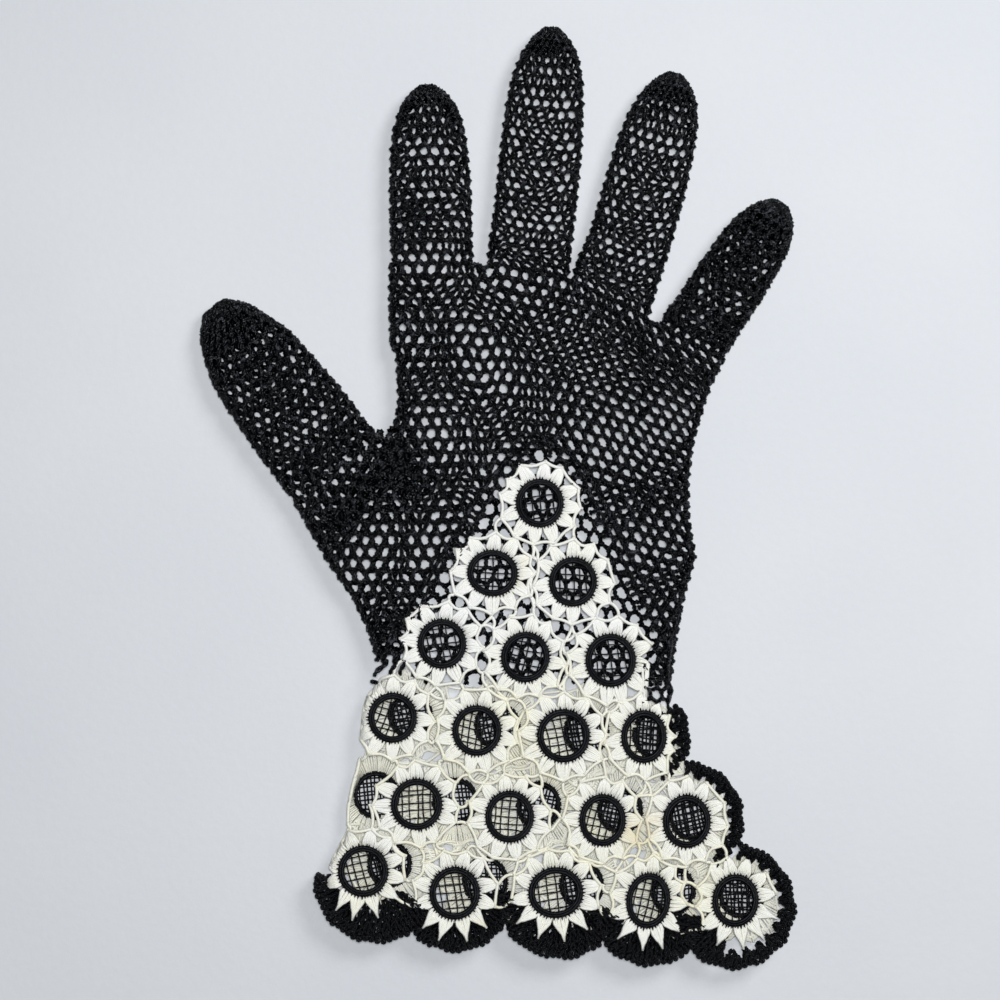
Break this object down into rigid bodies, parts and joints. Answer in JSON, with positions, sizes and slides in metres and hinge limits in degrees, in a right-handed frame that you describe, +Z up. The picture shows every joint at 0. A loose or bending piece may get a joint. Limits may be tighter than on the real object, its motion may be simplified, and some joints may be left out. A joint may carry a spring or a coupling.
{
  "type": "crochet gauntlet glove",
  "caption": "Right-hand black crocheted glove lying flat, with a pointed ivory lace insert of ringed rosettes and a flared, slit, scalloped lace cuff.",
  "frame": {"origin": "on the surface that the palm rests on, under the middle of the whole glove", "axes": "+Y from the hem to the fingertips, +X to the little finger, +Z up out of the decorated back of the hand"},
  "size_m": [0.1694, 0.2682, 0.0074],
  "materials": {
    "black_crochet": "open crochet in twisted black cotton with a slight sheen",
    "ivory_lace": "needle-worked petals and chains in matt ivory cotton, yellowed in places",
    "ring_cord": "satin-stitched padded black cord",
    "black_edging": "dense black crochet shells with picots"
  },
  "bodies": {
    "root": {"hand": "black_crochet", "thumb": "black_crochet", "index_finger": "black_crochet", "middle_finger": "black_crochet", "ring_finger": "black_crochet", "little_finger": "black_crochet", "lace_cuff": "ivory_lace", "scallop_edging": "black_edging", "ring_point_1": "ring_cord", "ring_point_2": "ring_cord", "ring_point_3": "ring_cord", "ring_point_4": "ring_cord", "ring_point_5": "ring_cord", "ring_point_6": "ring_cord", "ring_front_1": "ring_cord", "ring_front_2": "ring_cord", "ring_front_3": "ring_cord", "ring_front_4": "ring_cord", "ring_front_5": "ring_cord", "ring_front_6": "ring_cord", "ring_front_7": "ring_cord", "ring_front_8": "ring_cord", "ring_front_9": "ring_cord", "ring_front_10": "ring_cord", "ring_front_11": "ring_cord", "ring_front_12": "ring_cord", "ring_front_13": "ring_cord", "ring_back_1": "ring_cord", "ring_back_2": "ring_cord", "ring_back_3": "ring_cord", "ring_back_4": "ring_cord", "ring_back_5": "ring_cord", "ring_back_6": "ring_cord", "ring_back_7": "ring_cord", "ring_back_8": "ring_cord", "ring_back_9": "ring_cord", "ring_back_10": "ring_cord", "ring_back_11": "ring_cord", "ring_back_12": "ring_cord", "ring_back_13": "ring_cord", "ring_back_14": "ring_cord"}
  },
  "joints": []
}
